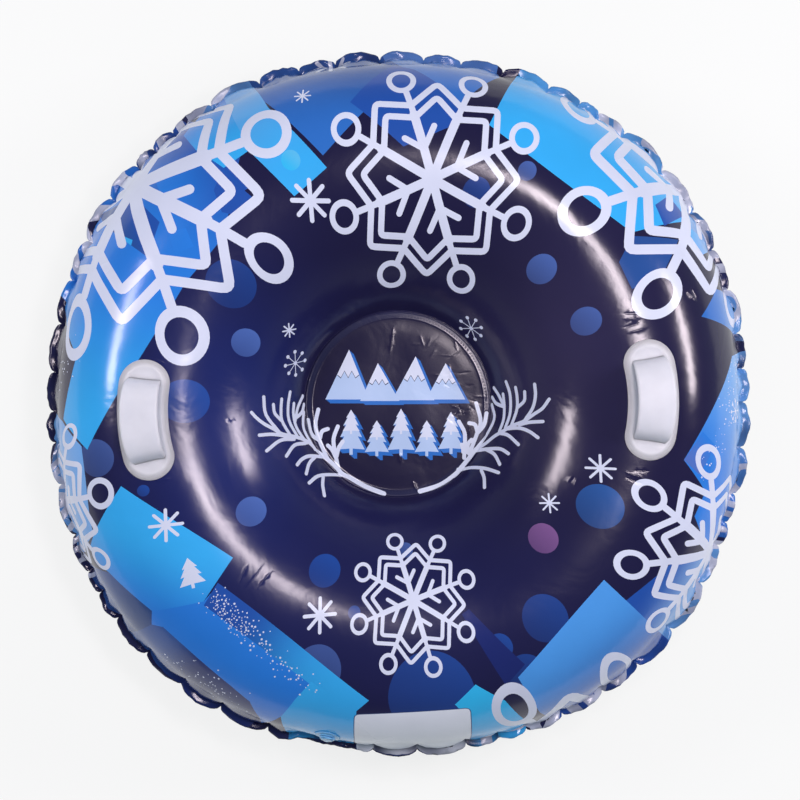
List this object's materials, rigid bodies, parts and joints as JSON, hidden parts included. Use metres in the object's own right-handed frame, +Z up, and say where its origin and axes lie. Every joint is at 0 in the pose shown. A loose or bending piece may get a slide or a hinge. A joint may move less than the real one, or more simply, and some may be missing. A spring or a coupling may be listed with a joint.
{
  "type": "snow tube",
  "caption": "Inflatable ring-shaped snow tube with a closed seat floor, puckered outer seam, moulded handles on the crown and a push-in valve in the outer wall.",
  "frame": {"origin": "on the ground under the middle of the tube", "axes": "+Z up out of the seat, +X to the right handle, -Y to the side that carries the valve"},
  "size_m": [0.9331, 0.9354, 0.2745],
  "materials": {
    "printed_film": "glossy printed PVC film, navy ground with ice-white and blue print",
    "base_film": "semi-gloss dark navy PVC film, lightly scuffed",
    "handle_moulding": "soft milky white moulded PVC, satin",
    "valve_moulding": "soft blue moulded PVC"
  },
  "bodies": {
    "tube": {"top_sheet": "printed_film", "bottom_sheet": "base_film", "handle_left": "handle_moulding", "handle_right": "handle_moulding", "valve_flange": "valve_moulding"},
    "stem": {"valve_stem": "valve_moulding", "valve_tether": "valve_moulding"},
    "plug": {"valve_plug": "valve_moulding"},
    "flap": {"valve_flap": "valve_moulding"}
  },
  "joints": [
    {"name": "stem_push", "type": "slide", "parent": "tube", "child": "stem", "axis": [-0.1913, -0.9, 0.3916], "range_m": [0, 0.014]},
    {"name": "plug_pull", "type": "slide", "parent": "stem", "child": "plug", "axis": [-0.1913, -0.9, 0.3916], "range_m": [0, 0.01], "deforming": ["valve_tether"]},
    {"name": "flap_open", "type": "hinge", "parent": "stem", "child": "flap", "pos_m": [-0.08718, -0.41016, 0.16468], "axis": [0.9781, -0.2079, 0], "range_deg": [0, 55], "stiffness_Nm_per_rad": 0.0005}
  ]
}
